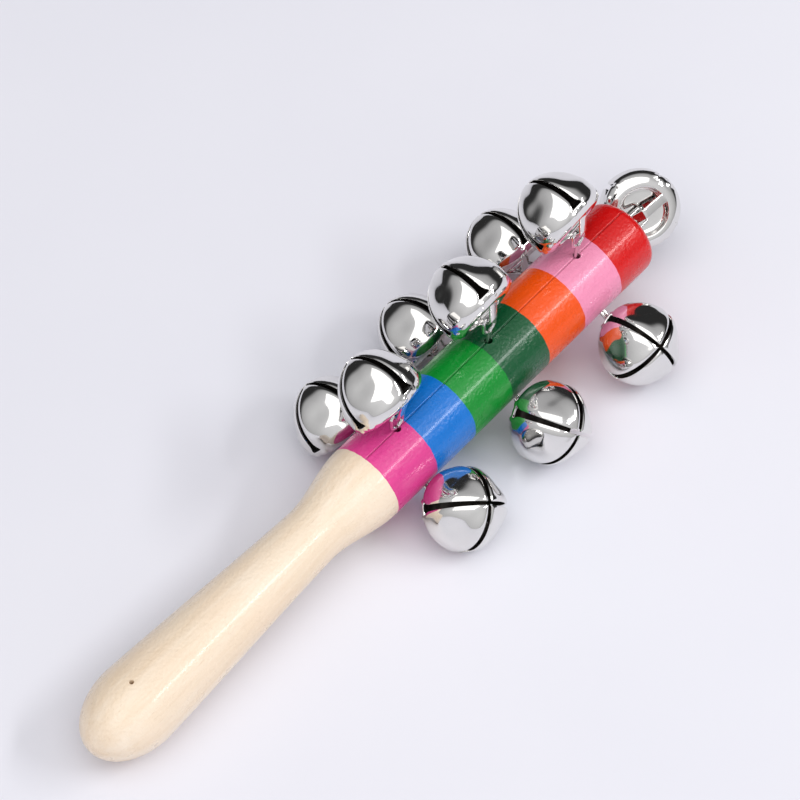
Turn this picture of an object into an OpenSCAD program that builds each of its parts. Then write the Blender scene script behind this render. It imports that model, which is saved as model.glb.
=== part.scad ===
// Jingle-bell stick: a turned wooden stick with ten loose bells hung in split pins.
// The stick lies on its knob and its lower bells; +X runs from the handle to the head.

/* [Stick] */
// Radius of the painted head
head_r = 10; // [9:0.5:12]
// Length of one painted band along the stick
band_l = 13.5; // [12:0.5:16]
// Number of painted bands
bands = 7; // [6:1:8]
// Rounding of the head's outer edge
head_edge_r = 2.5; // [1:0.5:4]
// Length of the bare wooden handle
handle_l = 90.7; // [80:0.1:110]
// Largest radius of the knob
knob_r = 10.1; // [9:0.1:12]
// Distance from the knob's tip to its widest place
knob_nose = 14.7; // [11:0.1:16]
// Radius of the neck, the thinnest place of the handle
neck_r = 7.15; // [6:0.05:8.5]
// Length of the flare between the neck and the head
flare_l = 19; // [14:1:24]
// Width of the line scored along each row of bells
score_w = 0.4; // [0.2:0.1:0.8]
// Depth of the scored line
score_d = 0.25; // [0.1:0.05:0.5]
// Radius of the small hole in the knob
pinhole_r = 0.55; // [0.4:0.05:1]
// Depth of the small hole in the knob
pinhole_d = 3; // [2:0.5:5]

/* [Rows] */
// Station of the first bell of each row, from the head's start
first_station = 11; // [8:0.5:14]
// Distance between the bells of a row
bell_pitch = 32.4; // [30:0.2:36]
// Lean of the upper row from vertical, towards +Y
row_lean = -2; // [-10:1:10]

/* [Split pins] */
// Radius of the pin's wire
wire_r = 0.45; // [0.35:0.05:0.6]
// Radius of the bends where the legs spread into the eye
bend_r = 1.5; // [1.4:0.05:1.7]
// Angle of those bends
bend_a = 60; // [56:1:64]
// Length of the eye from its crotch to the middle of the end wire
eye_l = 6.6; // [6.5:0.1:7.2]
// Radius of the corners at the eye's outer end
corner_r = 1.2; // [1:0.05:1.4]
// Depth of the legs in the wood
leg_depth = 7; // [5:0.5:8]

/* [Bells] */
// Largest radius of a bell
bell_r = 10; // [9:0.1:11]
// Depth of a bell from its base to its nose
bell_depth = 15.5; // [14.5:0.1:16.5]
// Height of the widest ring above the base
waist_z = 5; // [4:0.1:6]
// Outer radius of the rounded edge round the base
base_edge_r = 3.2; // [2.5:0.1:3.6]
// Thickness of the sheet metal
sheet_t = 0.5; // [0.4:0.05:0.6]
// Width of the slots in the nose
slot_w = 1.6; // [1.2:0.1:2]
// Height of the slots' roots above the base
slot_root_z = 3.6; // [3.2:0.1:4.5]
// Radius of the widened end of each slot
slot_end_r = 1.4; // [1:0.1:1.6]
// Radius of the round dish pressed into the base
dish_r = 6.2; // [5.5:0.1:6.5]
// Depth of the dish
dish_d = 1.6; // [1.2:0.1:2]
// Width of the strap across the dish
strap_w = 2.4; // [2:0.1:2.6]
// Radius of the loose steel pellet
pellet_r = 2.5; // [2:0.1:2.8]

/* [Hidden] */
$fn = 48;

// Turn of each row about the stick, from straight up towards +Y: upper, left, right
row_turn = [row_lean, row_lean + 120, row_lean - 120];
// How far the end wire of each pin stands out of the wood, by row and station
pin_stand = [[6.7, 9.7, 10.2], [7.3, 8.6, 9.4], [8.7, 6.85, 9.9]];
// Swing of each bell off its pin at rest, by row and station
swing = [[58, 72, 72], [-64, -55, -54], [81, 61, 76]];
// Lean of each bell along the stick, by row and station
lean = [[-1, 0, -3], [-1, -5, 5], [7, -3, -10]];
// Turn of each bell's slots about its own axis, by row and station
slot_turn = [[8, -10, -5], [10, 14, 4], [49, 37, 14]];
// The loose pellet lies on the downhill side of each bell: +1 or -1 by row
downhill = [1, 1, -1];
// The end bell: stand of its pin, swing off it, and turn of the eye about the pin
end_stand = 7.9;
end_swing = 62;
end_twist = -45;
end_slot_turn = 68;

head_l = bands * band_l;
pin_hole_r = 0.9;
leg_gap = wire_r + 0.01;
// The wire is a little thicker where its two bends meet
knuckle = 0.03;
// Half of the eye's width, to the middle of the wire
eye_half_w = leg_gap + 2 * bend_r * (1 - cos(bend_a));
eye_clear = 0.5;
crown_r = wire_r + eye_clear;
base_z = 0.9;
pellet_gap = 0.3;
pellet_z = base_z + dish_d + sheet_t + pellet_r + pellet_gap;
pellet_off = bell_r - sheet_t - pellet_r - pellet_gap;
wall_over = 1;

// The lying stick: slope of its axis, and height of its axis at the start of the head
stick_slope = 2.9;
axis_z = 13.96;
// The middle of the whole object's box, seen from above
centre_x = 12.35;
centre_y = 0.75;

// Radius of the handle at a station s, which is negative behind the head
function knob_part(s) = knob_r * sqrt(max(0, 1 - pow((s + handle_l - knob_nose) / knob_nose, 2)));
function taper_part(u) = neck_r + (knob_r - neck_r) * (0.8 * (1 - u) + 0.1 * (1 + cos(180 * u)));
function flare_part(u) = neck_r + (head_r - neck_r) * (1 - cos(180 * u)) / 2;
function handle_at(s) =
    s < knob_nose - handle_l ? knob_part(s)
    : s < -flare_l ? taper_part((s + handle_l - knob_nose) / (handle_l - knob_nose - flare_l))
    : flare_part((s + flare_l) / flare_l);
knob_pts = [for (a = [0:9:81]) let (s = -handle_l + knob_nose * (1 - cos(a))) [handle_at(s), s]];
body_pts = [for (i = [0:14]) let (s = knob_nose - handle_l
    + i * (handle_l - knob_nose - flare_l) / 15) [handle_at(s), s]];
flare_pts = [for (i = [0:10]) let (s = -flare_l + i * flare_l / 10) [handle_at(s), s]];
edge_pts = [for (a = [0:15:90]) [head_r - head_edge_r * (1 - cos(a)),
    head_l - head_edge_r * (1 - sin(a))]];

// Places its children in the stick's own frame: +X along the stick, +Z up
module on_stick() {
    translate([-centre_x, -centre_y, axis_z]) rotate([0, -stick_slope, 0]) children();
}

// Places its children at the foot of a pin, with +Z out of the wood
module at_pin(row, k) {
    on_stick() translate([first_station + k * bell_pitch, 0, 0])
        rotate([-row_turn[row], 0, 0]) translate([0, 0, head_r]) children();
}

module at_end_pin() {
    on_stick() translate([head_l, 0, 0]) rotate([0, 90, 0]) rotate([0, 0, end_twist]) children();
}

// Places its children at the end wire that a bell hangs on, with +Z along the bell
module at_bell(row, k) {
    at_pin(row, k) translate([0, 0, pin_stand[row][k]])
        rotate([-swing[row][k], 0, 0]) rotate([0, lean[row][k], 0]) children();
}

module at_end_bell() {
    at_end_pin() translate([0, 0, end_stand]) rotate([-end_swing, 0, 0]) children();
}

// The turned stick, with its scored lines and the drilled holes for the pins
module stick() {
    color("burlywood") difference() {
        on_stick() rotate([0, 90, 0]) rotate_extrude()
            polygon(concat(knob_pts, body_pts, flare_pts, edge_pts, [[0, head_l]]));
        for (row = [0:2]) {
            on_stick() rotate([-row_turn[row], 0, 0])
                translate([-1, -score_w / 2, head_r - score_d])
                    cube([head_l + wall_over, score_w, 2 * score_d]);
            for (k = [0:2]) at_pin(row, k) pin_hole();
        }
        at_end_pin() pin_hole();
        on_stick() translate([knob_nose - handle_l, 0, knob_r - pinhole_d])
            cylinder(r = pinhole_r, h = pinhole_d + wall_over);
    }
}

module pin_hole() {
    translate([0, 0, -leg_depth - 0.5]) cylinder(r = pin_hole_r, h = leg_depth + 0.5 + wall_over);
}

// A length of wire bent round an arc in the pin's plane, from +Z towards +X
module bend(r, a) {
    rotate([90, 0, 0]) translate([r, 0, 0]) rotate([0, 0, 180 - a])
        rotate_extrude(angle = a) translate([r, 0]) circle(r = wire_r);
}

// Half of a split pin: a leg in the wood, an S-bend out to the eye, its side and its corner
module pin_half(stand) {
    crotch = stand - eye_l;
    rise = 2 * bend_r * sin(bend_a);
    side = stand - corner_r - crotch - rise;
    translate([leg_gap, 0, -leg_depth]) cylinder(r = wire_r, h = crotch + leg_depth);
    translate([leg_gap, 0, crotch]) bend(bend_r, bend_a);
    translate([(leg_gap + eye_half_w) / 2, 0, crotch + rise / 2]) sphere(r = wire_r + knuckle);
    translate([eye_half_w, 0, crotch + rise]) mirror([1, 0, 0]) mirror([0, 0, 1])
        bend(bend_r, bend_a);
    translate([eye_half_w, 0, crotch + rise]) cylinder(r = wire_r, h = side);
    translate([eye_half_w, 0, crotch + rise + side]) mirror([1, 0, 0]) bend(corner_r, 90);
}

// One split pin: two legs in the wood, and a long eye that stands out of it
module split_pin(stand) {
    color("silver") {
        pin_half(stand);
        mirror([1, 0, 0]) pin_half(stand);
        translate([corner_r - eye_half_w, 0, stand]) rotate([0, 90, 0])
            cylinder(r = wire_r, h = 2 * (eye_half_w - corner_r));
    }
}

// Outline of a bell turned about its axis; inset moves it inwards by the sheet's thickness
module bell_outline(inset) {
    nose_h = bell_depth - waist_z;
    bulge = (nose_h * nose_h - bell_r * bell_r) / (2 * bell_r);
    edge = base_edge_r - inset;
    flat_r = bell_r - base_edge_r;
    intersection() {
        translate([-bulge, waist_z]) circle(r = bell_r + bulge - inset, $fn = 96);
        translate([0, waist_z]) square([bell_r, nose_h]);
    }
    translate([0, base_edge_r]) square([bell_r - inset, waist_z - base_edge_r]);
    translate([0, inset]) square([flat_r, waist_z - inset]);
    intersection() {
        translate([flat_r, base_edge_r]) circle(r = edge);
        translate([flat_r, 0]) square([edge, base_edge_r]);
    }
}

// One bell of pressed sheet: a slotted shell, a dish in its base and a strap across it
module bell_shell(turn) {
    color("gainsboro") {
        translate([0, 0, base_z]) difference() {
            union() {
                difference() {
                    rotate_extrude() bell_outline(0);
                    rotate_extrude() bell_outline(sheet_t);
                    for (a = [0, 90]) rotate([0, 0, a + turn]) {
                        translate([-bell_r - 1, -slot_w / 2, slot_root_z])
                            cube([2 * bell_r + 2, slot_w, bell_depth]);
                        translate([-bell_r - 1, 0, slot_root_z]) rotate([0, 90, 0])
                            cylinder(r = slot_end_r, h = 2 * bell_r + 2);
                    }
                }
                cylinder(r = dish_r + sheet_t, h = dish_d + sheet_t);
            }
            translate([0, 0, -1]) cylinder(r = dish_r, h = dish_d + 1);
        }
        strap();
    }
}

// The strap bends over the pin's end wire, which is at the origin
module strap() {
    outer = crown_r + sheet_t;
    reach = dish_r + sheet_t / 2;
    slope = asin(crown_r / norm([reach, base_z])) + atan2(base_z, reach);
    leg = sqrt(reach * reach + base_z * base_z - crown_r * crown_r) + 0.1;
    rotate([0, 0, 90]) rotate([90, 0, 0]) translate([0, 0, -strap_w / 2])
        linear_extrude(strap_w) {
            difference() {
                circle(r = outer);
                circle(r = crown_r);
                for (m = [0, 1]) mirror([m, 0]) rotate(slope) translate([0, -2 * outer])
                    square([2 * outer, 4 * outer]);
                translate([-2 * outer, 0]) square([4 * outer, 2 * outer]);
            }
            for (m = [0, 1]) mirror([m, 0]) rotate(slope) translate([0, -outer])
                square([leg, sheet_t]);
        }
}

module pellet() {
    color("dimgray") sphere(r = pellet_r);
}

module bell_pellet(row, k) {
    at_bell(row, k) translate([0, downhill[row] * pellet_off, pellet_z]) pellet();
}

// The end bell hangs nose down, so its pellet lies in the nose, straight below the waist
module end_pellet() {
    drop = bell_r - sheet_t - pellet_r - pellet_gap;
    waist = base_z + waist_z;
    // the same point, worked out from the stick's slope, the pin's twist and the bell's swing
    at_end_bell() translate([0, 0, waist]) translate(drop * end_down()) pellet();
}

// Straight down, as seen in the end bell's own frame
function end_down() = let (
    d1 = [-sin(stick_slope), 0, -cos(stick_slope)],
    d2 = [-d1[2], d1[1], d1[0]],
    d3 = [d2[0] * cos(end_twist) + d2[1] * sin(end_twist),
          -d2[0] * sin(end_twist) + d2[1] * cos(end_twist), d2[2]])
    [d3[0], d3[1] * cos(end_swing) - d3[2] * sin(end_swing),
     d3[1] * sin(end_swing) + d3[2] * cos(end_swing)];

rows = ["top", "left", "right"];
stick();
for (row = [0:2]) for (k = [0:2]) {
    tag = str(rows[row], "_", k + 1);
    at_pin(row, k) split_pin(pin_stand[row][k]);
    at_bell(row, k) bell_shell(slot_turn[row][k]);
    bell_pellet(row, k);
}
at_end_pin() split_pin(end_stand);  // split_pin_end
at_end_bell() bell_shell(end_slot_turn);  // bell_end
end_pellet();  // pellet_end
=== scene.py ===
import math

import bpy
import numpy as np
from mathutils import Matrix, Vector


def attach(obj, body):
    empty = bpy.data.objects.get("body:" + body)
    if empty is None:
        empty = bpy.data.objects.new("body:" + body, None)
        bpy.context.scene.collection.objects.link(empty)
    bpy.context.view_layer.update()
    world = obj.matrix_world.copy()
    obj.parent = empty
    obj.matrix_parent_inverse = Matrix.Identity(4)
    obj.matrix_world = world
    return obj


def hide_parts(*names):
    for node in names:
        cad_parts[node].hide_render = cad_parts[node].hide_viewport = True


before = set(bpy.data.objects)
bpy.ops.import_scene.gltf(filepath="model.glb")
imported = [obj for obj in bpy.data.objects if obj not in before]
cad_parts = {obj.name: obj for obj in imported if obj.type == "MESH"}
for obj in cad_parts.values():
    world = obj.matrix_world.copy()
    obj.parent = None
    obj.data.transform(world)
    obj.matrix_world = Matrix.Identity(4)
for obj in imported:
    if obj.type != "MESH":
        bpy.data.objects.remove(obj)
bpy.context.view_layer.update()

MM = 0.001

# ---------------------------------------------------------------- the part's own dimensions, in mm
HEAD_R, BAND_L, BANDS, HEAD_EDGE_R = 10.0, 13.5, 7, 2.5
HANDLE_L, KNOB_R, KNOB_NOSE, NECK_R, FLARE_L = 90.7, 10.1, 14.7, 7.15, 19.0
HEAD_L = BANDS * BAND_L
SCORE_D = 0.25
FIRST_STATION, BELL_PITCH, ROW_LEAN = 11.0, 32.4, -2.0
WIRE_R, BEND_R, BEND_A, EYE_L, CORNER_R, LEG_DEPTH = 0.45, 1.5, 60.0, 6.6, 1.2, 7.0
BELL_R, BELL_DEPTH, WAIST_Z, BASE_EDGE_R, SHEET_T = 10.0, 15.5, 5.0, 3.2, 0.5
DISH_R, DISH_D, STRAP_W, BASE_Z, EYE_CLEAR = 6.2, 1.6, 2.4, 0.9, 0.5
STICK_SLOPE, AXIS_Z, CENTRE_X, CENTRE_Y = 2.9, 13.96, 12.35, 0.75
ROWS = ("top", "left", "right")
ROW_TURN = (ROW_LEAN, ROW_LEAN + 120, ROW_LEAN - 120)
PIN_STAND = ((6.7, 9.7, 10.2), (7.3, 8.6, 9.4), (8.7, 6.85, 9.9))
SWING = ((58, 72, 72), (-64, -55, -54), (81, 61, 76))
LEAN = ((-1, 0, -3), (-1, -5, 5), (7, -3, -10))
SLOT_TURN = ((8, -10, -5), (10, 14, 4), (49, 37, 14))
END_STAND, END_SWING, END_TWIST, END_SLOT_TURN = 7.9, 62.0, -45.0, 68.0
LEG_GAP = WIRE_R + 0.01


def sin(degrees):
    return math.sin(math.radians(degrees))


def cos(degrees):
    return math.cos(math.radians(degrees))


EYE_HALF_W = LEG_GAP + 2 * BEND_R * (1 - cos(BEND_A))


def turn(axis, degrees):
    return Matrix.Rotation(math.radians(degrees), 4, axis)


def shift(x, y, z):
    return Matrix.Translation((x, y, z))


STICK_M = shift(-CENTRE_X, -CENTRE_Y, AXIS_Z) @ turn("Y", -STICK_SLOPE)


def pin_matrix(row, k):
    return (STICK_M @ shift(FIRST_STATION + k * BELL_PITCH, 0, 0) @ turn("X", -ROW_TURN[row])
            @ shift(0, 0, HEAD_R))


def bell_matrix(row, k):
    return (pin_matrix(row, k) @ shift(0, 0, PIN_STAND[row][k]) @ turn("X", -SWING[row][k])
            @ turn("Y", LEAN[row][k]))


END_PIN_M = STICK_M @ shift(HEAD_L, 0, 0) @ turn("Y", 90) @ turn("Z", END_TWIST)
END_BELL_M = END_PIN_M @ shift(0, 0, END_STAND) @ turn("X", -END_SWING)


# ---------------------------------------------------------------- meshes
def new_object(name, verts, faces, matrix):
    """A mesh object. verts are in mm in a local frame that matrix places in the row frame."""
    m = np.array(matrix)
    placed = (np.asarray(verts, float) @ m[:3, :3].T + m[:3, 3]) * MM
    mesh = bpy.data.meshes.new(name)
    mesh.from_pydata(placed.tolist(), [], [tuple(f) for f in faces])
    mesh.update()
    obj = bpy.data.objects.new(name, mesh)
    bpy.context.scene.collection.objects.link(obj)
    return obj


def piece(name, verts, faces, matrix, body, material, replaces=(), inner=None):
    """A smooth piece of the object that rides on a body and may stand in for CAD nodes."""
    obj = new_object(name, verts, faces, matrix)
    for polygon in obj.data.polygons:
        polygon.use_smooth = True
    obj.data.materials.append(material)
    if inner is not None:
        obj.data.materials.append(inner)
    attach(obj, body)
    if replaces:
        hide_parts(*replaces)
    return obj


def path_normals(points):
    """Unit normals, in their own plane, along a run of 2-D points."""
    tangent = np.gradient(points, axis=0)
    tangent /= np.linalg.norm(tangent, axis=1)[:, None]
    return np.stack([-tangent[:, 1], tangent[:, 0]], 1)


def tube_faces(rings, sides):
    """Faces of a closed tube of rings with the same number of sides, with a cap at each end."""
    faces = [(i * sides + j, i * sides + (j + 1) % sides, (i + 1) * sides + (j + 1) % sides,
              (i + 1) * sides + j) for i in range(rings - 1) for j in range(sides)]
    return faces + [tuple(reversed(range(sides))),
                    tuple((rings - 1) * sides + j for j in range(sides))]


# ---- stick
def handle_radius(s):
    """The handle's radius at a station: round knob, long taper, flare up to the head."""
    if s < KNOB_NOSE - HANDLE_L:
        return KNOB_R * math.sqrt(max(0.0, 1 - ((s + HANDLE_L - KNOB_NOSE) / KNOB_NOSE) ** 2))
    if s < -FLARE_L:
        u = (s + HANDLE_L - KNOB_NOSE) / (HANDLE_L - KNOB_NOSE - FLARE_L)
        return NECK_R + (KNOB_R - NECK_R) * (0.8 * (1 - u) + 0.1 * (1 + math.cos(math.pi * u)))
    u = (s + FLARE_L) / FLARE_L
    return NECK_R + (HEAD_R - NECK_R) * (1 - math.cos(math.pi * u)) / 2


def lathe_rows():
    """(station, radius, how deep the scored lines are) from the knob's tip to the end face."""
    rows = []
    for a in np.arange(3, 90, 4.0):
        s = -HANDLE_L + KNOB_NOSE * (1 - cos(a))
        rows.append((s, handle_radius(s), 0.0))
    for s in np.arange(KNOB_NOSE - HANDLE_L, 0, 1.4):
        rows.append((s, handle_radius(s), 0.0))
    for s in (-0.35, 0.0, 0.35, 1.2):
        radius = HEAD_R if s > 0 else handle_radius(s)
        rows.append((s, radius, min(1.0, max(0.0, (s + 0.35) / 0.7))))
    for s in np.arange(2.4, HEAD_L - HEAD_EDGE_R, 1.5):
        rows.append((s, HEAD_R, 1.0))
    for a in np.arange(0, 91, 9.0):
        rows.append((HEAD_L - HEAD_EDGE_R * (1 - sin(a)), HEAD_R - HEAD_EDGE_R * (1 - cos(a)),
                     1.0 if a < 60 else 0.4))
    return rows + [(HEAD_L, r, 0.0) for r in (6.5, 4.5, 2.2)]


def stick_angles():
    """Angles about the stick, with close ones at the scored lines."""
    half = [0.1, 0.2, 0.32, 0.5]
    close = np.degrees(np.array([-d for d in reversed(half)] + [0] + half) / HEAD_R)
    angles = []
    for row in range(3):
        angles += list(ROW_TURN[row] + close)
        angles += list(ROW_TURN[row] + np.linspace(close[-1], 120 + close[0], 39)[1:-1])
    return np.array(sorted(a % 360 for a in angles))


def score_depth(angle):
    """Depth of the scored line at an angle: a V with a slight burr at each side."""
    d = min(abs((angle - t + 180) % 360 - 180) for t in ROW_TURN) * math.pi / 180 * HEAD_R
    return float(np.interp(d, [0, 0.1, 0.2, 0.32, 0.5], [SCORE_D, 0.17, 0.03, -0.03, 0.0]))


def build_stick(material):
    rows, angles = lathe_rows(), stick_angles()
    depth = np.array([score_depth(a) for a in angles])
    rad = np.radians(angles)
    verts = [(-HANDLE_L, 0.0, 0.0)]
    for s, r, k in rows:
        rr = r - k * depth
        verts += [(s, rr[i] * math.sin(rad[i]), rr[i] * math.cos(rad[i])) for i in range(len(rad))]
    verts.append((HEAD_L, 0.0, 0.0))
    n, faces = len(rad), []
    last = 1 + (len(rows) - 1) * n
    for j in range(n):
        faces.append((0, 1 + j, 1 + (j + 1) % n))
        faces.append((last + j, len(verts) - 1, last + (j + 1) % n))
        for i in range(len(rows) - 1):
            a, b = 1 + i * n + j, 1 + i * n + (j + 1) % n
            faces.append((a, a + n, b + n, b))
    return piece("turned_stick", verts, faces, STICK_M, "stick", material,
                 ["stick"])


def cutter(name, matrix, r, depth):
    """A drill that cuts a hole of radius r into the wood below the local origin."""
    over, sides = 1.0, 28
    ring = [(r * cos(360 * i / sides), r * sin(360 * i / sides)) for i in range(sides)]
    verts = [(x, y, z) for z in (-depth, over) for x, y in ring] + [(0, 0, -depth - r * 0.5)]
    faces = [(i, (i + 1) % sides, sides + (i + 1) % sides, sides + i) for i in range(sides)]
    faces.append(tuple(sides + i for i in range(sides)))
    faces += [((i + 1) % sides, i, 2 * sides) for i in range(sides)]
    return new_object(name, verts, faces, matrix)


def drill(obj, cutters):
    """Cuts the cutters out of obj and leaves the result in obj's own mesh."""
    for c in cutters:
        mod = obj.modifiers.new("drill", "BOOLEAN")
        mod.operation, mod.solver, mod.object = "DIFFERENCE", "EXACT", c
    solved = obj.evaluated_get(bpy.context.evaluated_depsgraph_get())
    done = bpy.data.meshes.new_from_object(solved)
    obj.modifiers.clear()
    obj.data = done
    for c in cutters:
        bpy.data.objects.remove(c)
    done.set_sharp_from_angle(angle=math.radians(40))


# ---- bells
TAIL_Z = 2.3                        # height of the slots' flat ends above the base
# half width of a slot by its distance from the flat end: a flared end, then a narrowing slit
SLOT_ALONG = [0, 0.2, 0.55, 1.1, 1.8, 2.6, 6.0, 12.0, 17.5]
SLOT_HALF = [1.5, 1.68, 1.55, 1.2, 0.9, 0.8, 0.74, 0.6, 0.5]
# (r, height) of the dish from its floor up its wall to the base ring
DISH = [(1.6, 1.6), (3.2, 1.6), (4.5, 1.6), (5.2, 1.57), (5.62, 1.42), (5.88, 1.15), (6.02, 0.8),
        (6.12, 0.42), (6.25, 0.16), (6.42, 0.03)]
FLATTEN = 0.13                      # how far the panels are pressed in, as a share of the radius
ROLL = 0.2                          # how far the slots' edges turn in
NUB_H, NUB_R, NUB_SIDE, NUB_DROP = 0.26, 0.62, 1.95, 1.25
SLOT_COLS, PETAL_COLS = 8, 24


def shell_profile():
    """Fine outline (r, z) of a bell from its base ring to its nose, z from the base plane."""
    pts = [(6.6, 0.0)]
    for a in np.arange(0, 90.1, 3):
        pts.append((BELL_R - BASE_EDGE_R + BASE_EDGE_R * sin(a), BASE_EDGE_R * (1 - cos(a))))
    nose_h = BELL_DEPTH - WAIST_Z
    bulge = (nose_h ** 2 - BELL_R ** 2) / (2 * BELL_R)
    for a in np.arange(0, 82.6, 1.5):
        pts.append(((BELL_R + bulge) * cos(a) - bulge, WAIST_Z + (BELL_R + bulge) * sin(a)))
    return np.array(pts)


def bell_rows():
    """Radius, height and distance past the slots' flat ends, from the dish's floor to the nose."""
    prof = shell_profile()
    arc = np.concatenate([[0], np.cumsum(np.hypot(*np.diff(prof, axis=0).T))])
    tail = float(np.interp(TAIL_Z, prof[:, 1], arc))
    lengths = list(np.linspace(0, tail, 17))[:-1]
    lengths += [tail + x for x in (0, 0.1, 0.2, 0.38, 0.55, 0.8, 1.1, 1.45, 1.8, 2.2, 2.6)]
    lengths += list(np.linspace(tail + 3.1, arc[-1], 26))
    r = np.concatenate([[p[0] for p in DISH], np.interp(lengths, arc, prof[:, 0])])
    z = np.concatenate([[p[1] for p in DISH], np.interp(lengths, arc, prof[:, 1])])
    return r, z, np.concatenate([np.full(len(DISH), -9.0), np.array(lengths) - tail])


def pressing(near, r, wide, along):
    """How far the sheet is pressed out (or in) at an arc distance from a slot's middle."""
    d = 0.0
    if along > -0.6:
        edge = max(0.0, near * r - wide)
        d -= ROLL * math.exp(-(edge / 0.4) ** 1.4) * min(1.0, (along + 0.6) / 1.2)
    if -4 < along < 2:
        far = math.hypot(near * r - NUB_SIDE, along + NUB_DROP)
        d += NUB_H * math.exp(-(far / NUB_R) ** 2.6)
        d -= 0.07 * math.exp(-((far - 1.15) / 0.35) ** 2)
    return d


def bell_mesh(slot_turn):
    """Vertices and faces of one bell: dish, base ring, rounded edge, and petals with slots."""
    r, z, along = bell_rows()
    below = along < -1e-6
    wide = np.where(below, SLOT_HALF[1], np.interp(np.maximum(along, 0), SLOT_ALONG, SLOT_HALF))
    delta = np.where(below, math.asin(SLOT_HALF[1] / 9.85), np.arcsin(np.minimum(0.72, wide / r)))
    dr, dz = np.gradient(r), np.gradient(z)
    norm = np.hypot(dr, dz)
    nr, nz = dz / norm, -dr / norm
    rise = np.clip((z - WAIST_Z) / (BELL_DEPTH - WAIST_Z), 0, 1)
    square = FLATTEN * (1 - np.cos(np.pi * np.clip(rise / 0.5, 0, 1))) / 2
    ease = (1 - np.cos(np.pi * np.arange(PETAL_COLS) / PETAL_COLS)) / 2
    verts, rows = [(0.0, 0.0, BASE_Z + DISH_D)], len(r)
    for i in range(rows):
        columns = np.concatenate([np.linspace(-delta[i], delta[i], SLOT_COLS + 1)[:-1],
                                  delta[i] + (math.pi / 2 - 2 * delta[i]) * ease])
        for q in range(4):
            for a in columns:
                near = min(abs(a), abs(math.pi / 2 - a))
                d = pressing(near, r[i], wide[i], along[i])
                rr = r[i] * (1 - square[i] * math.sin(2 * near) ** 2) + d * nr[i]
                ang = a + q * math.pi / 2 + math.radians(slot_turn)
                verts.append((rr * math.cos(ang), rr * math.sin(ang), z[i] + d * nz[i] + BASE_Z))
    n = 4 * (SLOT_COLS + PETAL_COLS)
    faces = [(0, 1 + (j + 1) % n, 1 + j) for j in range(n)]
    for i in range(rows - 1):
        for j in range(n):
            if not below[i] and j % (SLOT_COLS + PETAL_COLS) < SLOT_COLS:
                continue
            a, b = 1 + i * n + j, 1 + i * n + (j + 1) % n
            faces.append((a, b, b + n, a + n))
    used = sorted({v for f in faces for v in f})
    at = {v: i for i, v in enumerate(used)}
    return [verts[v] for v in used], [tuple(at[v] for v in f) for f in faces]


def build_bell(tag, matrix, slot_turn, plate, inside):
    """A bell's pressed shell and the strap across its base."""
    verts, faces = bell_mesh(slot_turn)
    shell = piece(f"bell_{tag}_shell", verts, faces, matrix, f"bell_{tag}", plate,
                  [f"bell_{tag}"], inside)
    sheet = shell.modifiers.new("sheet", "SOLIDIFY")
    sheet.thickness, sheet.offset, sheet.material_offset = SHEET_T * MM, -1, 1
    edges = shell.modifiers.new("edges", "BEVEL")
    edges.limit_method, edges.angle_limit = "ANGLE", math.radians(55)
    edges.width, edges.segments = 0.09 * MM, 2
    build_strap(tag, matrix, plate)


def build_strap(tag, matrix, plate):
    """The strap bends under the pin's end wire and runs flush into the base ring at each side."""
    crown = WIRE_R + EYE_CLEAR + SHEET_T / 2
    foot = (DISH_R + 0.25, BASE_Z + SHEET_T / 2)
    d = math.hypot(*foot)
    a = math.asin(crown / d) + math.atan2(foot[1], foot[0])
    arcs = [(crown * math.sin(t), -crown * math.cos(t)) for t in np.linspace(0, a, 9)]
    touch = (crown * math.sin(a), -crown * math.cos(a))
    run = [(touch[0] + (foot[0] - touch[0]) * t, touch[1] + (foot[1] - touch[1]) * t)
           for t in np.linspace(0, 1, 14)[1:-2]]
    tail = [(foot[0] + y, foot[1] + z) for y, z in ((-0.25, -0.03), (0.1, 0.02), (0.6, 0.05))]
    half = arcs + run + tail
    p = np.array([(-y, z) for y, z in reversed(half[1:])] + half)
    normal = path_normals(p)
    w, t, c = STRAP_W / 2, SHEET_T / 2, 0.14
    section = []
    for cx, cy, start in ((w - c, t - c, 0), (-w + c, t - c, 90), (-w + c, -t + c, 180),
                          (w - c, -t + c, 270)):
        section += [(cx + c * cos(start + b), cy + c * sin(start + b)) for b in (0, 30, 60, 90)]
    verts = [(x, p[i, 0] + h * normal[i, 0], p[i, 1] + h * normal[i, 1])
             for i in range(len(p)) for x, h in section]
    piece(f"bell_{tag}_strap", verts, tube_faces(len(p), len(section)), matrix, f"bell_{tag}",
          plate)


# ---- pins
def build_pin(tag, matrix, stand, material):
    """One bent wire: leg, S-bend, side and corner of the eye, and the same back down."""
    crotch = stand - EYE_L
    top = crotch + 2 * BEND_R * sin(BEND_A)
    half = [(LEG_GAP, z) for z in np.linspace(-LEG_DEPTH, crotch, 6)]
    half += [(LEG_GAP + BEND_R * (1 - cos(a)), crotch + BEND_R * sin(a))
             for a in np.arange(10, BEND_A + 1, 10)]
    half += [(EYE_HALF_W - BEND_R * (1 - cos(a)), top - BEND_R * sin(a))
             for a in np.arange(BEND_A - 10, -1, -10)]
    half += [(EYE_HALF_W, z) for z in np.linspace(top, stand - CORNER_R, 4)[1:]]
    half += [(EYE_HALF_W - CORNER_R * (1 - cos(a)), stand - CORNER_R + CORNER_R * sin(a))
             for a in np.arange(10, 91, 10)]
    p = np.array(half + [(-x, z) for x, z in reversed(half)])
    normal = path_normals(p)
    sides = 16
    ring = [(cos(360 * i / sides), sin(360 * i / sides)) for i in range(sides)]
    verts = [(p[i, 0] + WIRE_R * u * normal[i, 0], WIRE_R * v, p[i, 1] + WIRE_R * u * normal[i, 1])
             for i in range(len(p)) for u, v in ring]
    piece(f"pin_{tag}_wire", verts, tube_faces(len(p), sides), matrix, "stick",
          material, [f"split_pin_{tag}"])


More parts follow.
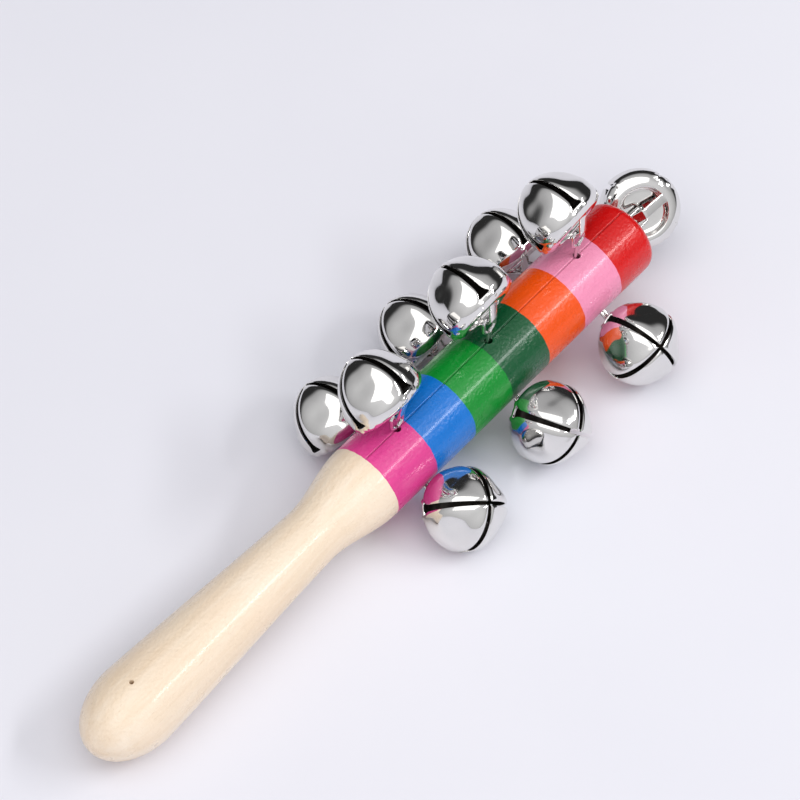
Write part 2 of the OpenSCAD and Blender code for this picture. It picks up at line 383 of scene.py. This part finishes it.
# ---------------------------------------------------------------- materials
def srgb(r, g, b):
    """An 8-bit screen colour as linear RGBA."""
    linear = [((c / 255 + 0.055) / 1.055) ** 2.4 if c > 10 else c / 255 / 12.92
              for c in (r, g, b)]
    return tuple(linear) + (1.0,)


class Nodes:
    """Short ways to add and link shader nodes in one material."""

    def __init__(self, name):
        self.mat = bpy.data.materials.new(name)
        self.mat.use_nodes = True
        self.tree = self.mat.node_tree
        self.bsdf = next(n for n in self.tree.nodes if n.type == "BSDF_PRINCIPLED")

    def add(self, kind, **values):
        node = self.tree.nodes.new(kind)
        for key, value in values.items():
            setattr(node, key, value)
        return node

    def link(self, a, b):
        self.tree.links.new(a, b)

    def math(self, op, a, b=None, c=None, clamp=False):
        node = self.add("ShaderNodeMath", operation=op, use_clamp=clamp)
        for i, v in enumerate((a, b, c)):
            if v is None:
                continue
            if isinstance(v, (int, float)):
                node.inputs[i].default_value = v
            else:
                self.link(v, node.inputs[i])
        return node.outputs[0]

    def coords(self):
        return self.add("ShaderNodeTexCoord").outputs["Object"]

    def dot(self, vector, axis):
        node = self.add("ShaderNodeVectorMath", operation="DOT_PRODUCT")
        self.link(vector, node.inputs[0])
        node.inputs[1].default_value = axis
        return node.outputs["Value"]

    def combine(self, x, y, z):
        node = self.add("ShaderNodeCombineXYZ")
        for i, v in enumerate((x, y, z)):
            self.link(v, node.inputs[i])
        return node.outputs[0]

    def noise(self, vector, scale, detail=2.0, rough=0.5, distort=0.0):
        node = self.add("ShaderNodeTexNoise")
        node.inputs["Scale"].default_value = scale
        node.inputs["Detail"].default_value = detail
        node.inputs["Roughness"].default_value = rough
        node.inputs["Distortion"].default_value = distort
        self.link(vector, node.inputs["Vector"])
        return node.outputs["Fac"]

    def spread(self, value, lo, hi, to_lo=0.0, to_hi=1.0, smooth=False):
        node = self.add("ShaderNodeMapRange", clamp=True)
        if smooth:
            node.interpolation_type = "SMOOTHSTEP"
        self.link(value, node.inputs["Value"])
        for key, v in (("From Min", lo), ("From Max", hi), ("To Min", to_lo), ("To Max", to_hi)):
            node.inputs[key].default_value = v
        return node.outputs["Result"]

    def ramp(self, value, stops, constant=False):
        node = self.add("ShaderNodeValToRGB")
        cr = node.color_ramp
        cr.interpolation = "CONSTANT" if constant else "LINEAR"
        while len(cr.elements) < len(stops):
            cr.elements.new(0.5)
        for el, (pos, col) in zip(cr.elements, stops):
            el.position, el.color = pos, col
        self.link(value, node.inputs["Fac"])
        return node.outputs["Color"]

    def mix(self, fac, a, b, blend="MIX"):
        node = self.add("ShaderNodeMix", data_type="RGBA", blend_type=blend)
        for key, v in (("Factor", fac), ("A", a), ("B", b)):
            socket = node.inputs[key]
            if isinstance(v, (int, float, tuple)):
                socket.default_value = v
            else:
                self.link(v, socket)
        return node.outputs["Result"]

    def bump(self, height, strength, distance, normal=None):
        node = self.add("ShaderNodeBump")
        node.inputs["Strength"].default_value = strength
        node.inputs["Distance"].default_value = distance
        self.link(height, node.inputs["Height"])
        if normal is not None:
            self.link(normal, node.inputs["Normal"])
        return node.outputs["Normal"]


WOOD = srgb(243, 224, 200)
PAINT = (srgb(226, 66, 146), srgb(0, 116, 208), srgb(0, 140, 44), srgb(0, 84, 44), srgb(244, 84, 4),
         srgb(244, 148, 184), srgb(214, 8, 8))


def stick_material():
    """Seven painted bands on the head and bare lacquered wood on the handle."""
    m = Nodes("lacquered_stick")
    axis_x = STICK_M.to_3x3() @ Vector((1, 0, 0))
    axis_y = STICK_M.to_3x3() @ Vector((0, 1, 0))
    axis_z = STICK_M.to_3x3() @ Vector((0, 0, 1))
    origin = STICK_M.translation * MM
    off = m.add("ShaderNodeVectorMath", operation="SUBTRACT")
    m.link(m.coords(), off.inputs[0])
    off.inputs[1].default_value = origin
    s, y, z = (m.dot(off.outputs[0], a) for a in (axis_x, axis_y, axis_z))
    local = m.combine(s, y, z)
    long = m.combine(m.math("MULTIPLY", s, 0.06), y, z)
    # bare wood: pale, close grain drawn out along the stick, with short darker pores
    broad = m.noise(long, 260, 3, 0.55)
    fine = m.noise(long, 1500, 2, 0.6)
    wood = m.ramp(m.math("ADD", m.math("MULTIPLY", broad, 0.75), m.math("MULTIPLY", fine, 0.25)),
                  [(0.3, srgb(234, 211, 182)), (0.5, WOOD), (0.72, srgb(248, 234, 215))])
    cloud = m.spread(m.noise(local, 55, 2), 0.35, 0.75)
    wood = m.mix(m.math("MULTIPLY", cloud, 0.35), wood, srgb(245, 219, 192))
    pores = m.spread(m.noise(m.combine(m.math("MULTIPLY", s, 0.12), y, z), 3200, 1), 0.70, 0.78)
    wood = m.mix(m.math("MULTIPLY", pores, 0.22), wood, srgb(188, 150, 108))
    # paint bands, with slightly uneven edges
    wander = m.math("MULTIPLY", m.math("SUBTRACT", m.noise(local, 420, 2), 0.5), 0.0005)
    station = m.math("ADD", s, wander)
    u = m.spread(station, 0.0, HEAD_L * MM)
    bands = m.ramp(u, [(i / BANDS, PAINT[i]) for i in range(BANDS)], constant=True)
    worn = m.spread(m.noise(long, 700, 3, 0.6), 0.3, 0.8, 0.93, 1.05)
    tone = m.add("ShaderNodeHueSaturation")
    m.link(bands, tone.inputs["Color"])
    m.link(worn, tone.inputs["Value"])
    painted = m.math("GREATER_THAN", station, 0.0)
    colour = m.mix(painted, wood, tone.outputs["Color"])
    # painted shade: each scored line is darkened along its groove
    angle = m.math("ARCTAN2", y, z)
    third = math.radians(120)
    turns = m.math("DIVIDE", m.math("SUBTRACT", angle, math.radians(ROW_LEAN)), third)
    part = m.math("FRACT", m.math("ADD", turns, 0.5 + 3))
    off_line = m.math("ABSOLUTE", m.math("SUBTRACT", part, 0.5))
    arc = m.math("MULTIPLY", off_line, third * HEAD_R * MM)
    # mask of the painted groove shade, narrow about each scored line
    line = m.spread(arc, 0.00008, 0.00022, 1.0, 0.0, smooth=True)
    line = m.math("MULTIPLY", m.math("MULTIPLY", line, painted), 0.4)
    colour = m.mix(line, colour, m.mix(0.8, colour, (0.01, 0.008, 0.008, 1.0), "MULTIPLY"))
    m.link(colour, m.bsdf.inputs["Base Color"])
    rough = m.spread(m.noise(local, 240, 3, 0.6), 0.3, 0.75, 0.24, 0.38)
    m.link(rough, m.bsdf.inputs["Roughness"])
    m.bsdf.inputs["IOR"].default_value = 1.42
    m.bsdf.inputs["Coat Weight"].default_value = 0.25
    m.bsdf.inputs["Coat Roughness"].default_value = 0.10
    grain = m.bump(m.noise(long, 900, 3, 0.6), 0.35, 0.00012)
    peel = m.bump(m.noise(local, 1300, 2, 0.5), 0.6, 0.00032, grain)
    m.link(peel, m.bsdf.inputs["Normal"])
    return m.mat


def nickel_material(name, tint, low, high):
    """Bright plated sheet or wire: faint waviness, handling marks in the gloss."""
    m = Nodes(name)
    p = m.coords()
    tone = m.spread(m.noise(p, 210, 3, 0.6), 0.3, 0.75)
    dim = tuple(c * 0.93 for c in tint[:3]) + (1.0,)
    m.link(m.mix(tone, dim, tint), m.bsdf.inputs["Base Color"])
    m.bsdf.inputs["Metallic"].default_value = 1.0
    m.link(m.spread(m.noise(p, 330, 4, 0.65), 0.35, 0.8, low, high), m.bsdf.inputs["Roughness"])
    wave = m.bump(m.noise(p, 230, 1), 0.10, 0.0004)
    m.link(m.bump(m.noise(p, 2600, 2), 0.06, 0.00004, wave), m.bsdf.inputs["Normal"])
    return m.mat


def dull_steel_material(name, dark, light, rough):
    """Unplated steel for the inside of the shells and the pellets; the shells' inside gets
    near-black tones as painted shade.
    """
    m = Nodes(name)
    p = m.coords()
    tone = m.spread(m.noise(p, 500, 4, 0.6), 0.3, 0.7)
    m.link(m.mix(tone, dark, light), m.bsdf.inputs["Base Color"])
    m.bsdf.inputs["Metallic"].default_value = 0.6
    m.link(m.spread(m.noise(p, 900, 3), 0.3, 0.7, rough, rough + 0.15), m.bsdf.inputs["Roughness"])
    m.link(m.bump(m.noise(p, 1800, 3), 0.3, 0.0001), m.bsdf.inputs["Normal"])
    return m.mat


def floor_material():
    """A pale, nearly matt sheet."""
    m = Nodes("studio_floor")
    p = m.coords()
    tone = m.spread(m.noise(p, 9, 3), 0.3, 0.7)
    m.link(m.mix(tone, (0.80, 0.80, 0.87, 1), (0.825, 0.825, 0.89, 1)), m.bsdf.inputs["Base Color"])
    m.link(m.spread(m.noise(p, 300, 3), 0.3, 0.7, 0.6, 0.72), m.bsdf.inputs["Roughness"])
    m.bsdf.inputs["Specular IOR Level"].default_value = 0.25
    return m.mat


# ---------------------------------------------------------------- the object
stick = build_stick(stick_material())
nickel = nickel_material("nickel_plate", (0.80, 0.79, 0.775, 1.0), 0.05, 0.12)
wire = nickel_material("bright_wire", (0.70, 0.69, 0.68, 1.0), 0.12, 0.22)
# near-black inside of the shells: painted shade for the dark inside of each bell
inside = dull_steel_material("bell_inside_painted_shade", (0.035, 0.028, 0.024, 1), (0.07, 0.058, 0.05, 1), 0.5)
pellet = dull_steel_material("pellet_steel", (0.10, 0.09, 0.085, 1), (0.18, 0.165, 0.155, 1), 0.35)

PIN_HOLE = (0.98, LEG_DEPTH + 0.5)      # radius and depth in mm
KNOB_HOLE = (0.55, 3.0)

drills = [cutter("drill_end", END_PIN_M, *PIN_HOLE)]
for row in range(3):
    for k in range(3):
        tag = f"{ROWS[row]}_{k + 1}"
        drills.append(cutter(f"drill_{tag}", pin_matrix(row, k), *PIN_HOLE))
        build_pin(tag, pin_matrix(row, k), PIN_STAND[row][k], wire)
        build_bell(tag, bell_matrix(row, k), SLOT_TURN[row][k], nickel, inside)
build_pin("end", END_PIN_M, END_STAND, wire)
build_bell("end", END_BELL_M, END_SLOT_TURN, nickel, inside)
drills.append(cutter("drill_knob", STICK_M @ shift(KNOB_NOSE - HANDLE_L, 0, KNOB_R), *KNOB_HOLE))
drill(stick, drills)

for name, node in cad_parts.items():
    if name.startswith("pellet"):
        for s in node.material_slots:
            s.material = pellet

# ---------------------------------------------------------------- studio
floor_mesh = bpy.data.meshes.new("studio_floor")
floor_mesh.from_pydata([(-4, -4, 0), (4, -4, 0), (4, 4, 0), (-4, 4, 0)], [], [(0, 1, 2, 3)])
floor = bpy.data.objects.new("studio_floor", floor_mesh)
bpy.context.scene.collection.objects.link(floor)
floor_mesh.materials.append(floor_material())


def soft_light(name, location, target, size, size_y, power, colour):
    """A rectangular area light at location that faces target."""
    data = bpy.data.lights.new(name, "AREA")
    data.shape, data.size, data.size_y = "RECTANGLE", size, size_y
    data.energy, data.color = power, colour
    obj = bpy.data.objects.new(name, data)
    obj.location = location
    obj.rotation_mode = "QUATERNION"
    obj.rotation_quaternion = (Vector(target) - Vector(location)).to_track_quat("-Z", "Y")
    bpy.context.scene.collection.objects.link(obj)


soft_light("ceiling", (-0.35, -0.2, 1.25), (0, 0, 0.02), 1.6, 1.6, 8.0, (1.0, 0.985, 0.965))
soft_light("strip", (0.47, -0.60, 0.72), (0, 0, 0.02), 0.6, 0.09, 3.2, (1.0, 1.0, 1.0))

world = bpy.data.worlds.new("studio")
bpy.context.scene.world = world
world.use_nodes = True
tree = world.node_tree
back_node = next(n for n in tree.nodes if n.type == "BACKGROUND")
where = tree.nodes.new("ShaderNodeTexCoord")
aim = tree.nodes.new("ShaderNodeVectorMath")
aim.operation = "DOT_PRODUCT"
aim.inputs[1].default_value = (-0.45, -0.40, 0.80)      # the bright side of the room
tree.links.new(where.outputs["Generated"], aim.inputs[0])
sky = tree.nodes.new("ShaderNodeValToRGB")
SKY = ((0.0, 0.03), (0.08, 0.06), (0.26, 0.42), (0.6, 0.60), (1.0, 0.85))
for _ in SKY[2:]:
    sky.color_ramp.elements.new(0.5)
for el, (pos, tone) in zip(sky.color_ramp.elements, SKY):
    el.position, el.color = pos, (tone, tone, tone * 1.02, 1)
tree.links.new(aim.outputs["Value"], sky.inputs["Fac"])
tree.links.new(sky.outputs["Color"], back_node.inputs["Color"])
back_node.inputs["Strength"].default_value = 1.0

camera_data = bpy.data.cameras.new("camera")
camera_data.sensor_width, camera_data.lens = 36.0, 135.4585
camera_data.clip_start, camera_data.clip_end = 0.01, 20.0
camera = bpy.data.objects.new("camera", camera_data)
camera.location = (-0.308716, -0.270773, 0.578577)
camera.rotation_mode = "QUATERNION"
camera.rotation_quaternion = (-Vector((-0.452114, -0.396019, 0.799226))).to_track_quat("-Z", "Y")
bpy.context.scene.collection.objects.link(camera)
bpy.context.scene.camera = camera
bpy.context.scene.view_settings.view_transform = "Standard"
